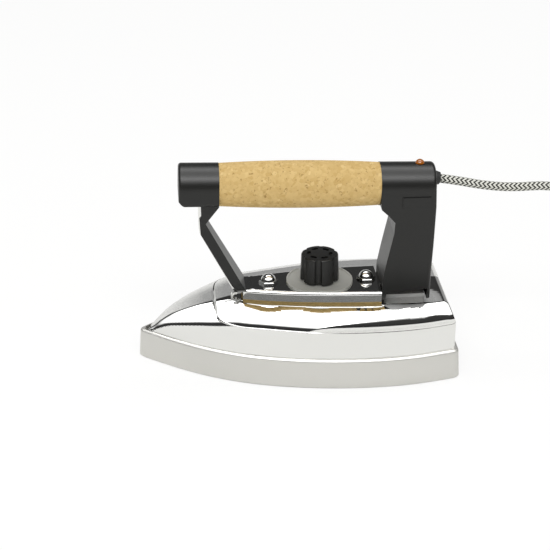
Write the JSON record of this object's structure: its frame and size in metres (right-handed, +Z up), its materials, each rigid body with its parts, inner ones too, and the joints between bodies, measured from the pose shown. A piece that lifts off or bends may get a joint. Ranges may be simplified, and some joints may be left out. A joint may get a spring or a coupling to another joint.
{
  "type": "dry pressing iron",
  "caption": "Heavy dry pressing iron with a mirror hood, a thermostat knob, a cork grip on dark moulded supports, and a coiled braided cord with a plug.",
  "frame": {"origin": "middle of the sole's length and width, on its flat underside", "axes": "X from the pointed nose (minus) to the heel (plus), Y across, Z up"},
  "size_m": [0.4435, 0.159, 0.1409],
  "materials": {
    "polished_steel": "mirror",
    "cast_sole": "satin sides, polished face",
    "cast_plate": "rough casting",
    "element_steel": "heat tinted",
    "plain_steel": "zinc plated",
    "pressed_board": "matt",
    "dark_moulding": "satin",
    "cork": "sanded, matt",
    "amber_glass": "clear",
    "lamp_glass": "clear",
    "spring_brass": "rolled",
    "white_ceramic": "matt",
    "inner_sleeving": "woven glass",
    "cord_braid": "black and white braid",
    "cord_rubber": "matt"
  },
  "bodies": {
    "iron": {"sole_plate": "cast_sole", "heating_element": "element_steel", "element_terminals": "white_ceramic", "pressure_plate": "cast_plate", "spacer_tubes": "plain_steel", "clamp_studs": "plain_steel", "cap_nuts": "polished_steel", "hood": "polished_steel", "insulating_board": "pressed_board", "frame_bracket": "polished_steel", "front_support": "dark_moulding", "front_plug": "dark_moulding", "leg_screw": "plain_steel", "tie_rod": "plain_steel", "tie_washer": "plain_steel", "tie_nut": "plain_steel", "grip_tube": "plain_steel", "cork_grip": "cork", "rear_post": "dark_moulding", "rear_cover": "dark_moulding", "cover_screws": "plain_steel", "cord_sleeve": "cord_rubber", "inner_cord": "cord_braid", "cord_clamp": "dark_moulding", "clamp_screws": "plain_steel", "terminal_block": "white_ceramic", "block_screws": "spring_brass", "earth_ring": "spring_brass", "earth_screw": "plain_steel", "lead_wires": "inner_sleeving", "earth_wire": "inner_sleeving", "neutral_wire": "inner_sleeving", "live_wire": "inner_sleeving", "load_wire": "inner_sleeving", "lamp_lens": "amber_glass", "lamp_bulb": "lamp_glass", "dial_plate": "polished_steel", "dial_bush": "spring_brass", "bush_nut": "spring_brass", "thermostat_bracket": "plain_steel", "bracket_screws": "plain_steel", "ceramic_rings": "white_ceramic", "pile_rivet": "plain_steel", "bimetal_strip": "spring_brass", "contact_leaf": "spring_brass", "upper_leaf": "spring_brass", "cord_lead": "cord_braid", "cord_coil": "cord_braid", "cord_tail": "cord_braid", "plug_body": "cord_rubber", "plug_pins": "spring_brass"},
    "control": {"knob": "dark_moulding", "spindle": "plain_steel"},
    "adjuster": {"adjuster_tip": "white_ceramic"}
  },
  "joints": [
    {"name": "knob_turn", "type": "hinge", "parent": "iron", "child": "control", "pos_m": [0.017, 0, 0.06], "axis": [0, 0, 1], "range_deg": [0, 300]},
    {"name": "tip_drop", "type": "slide", "parent": "iron", "child": "adjuster", "axis": [0, 0, -1], "range_m": [0, 0.0006]}
  ],
  "couplings": [
    {"joint": "tip_drop", "follows": "knob_turn", "m_per_rad": 0.000114}
  ]
}
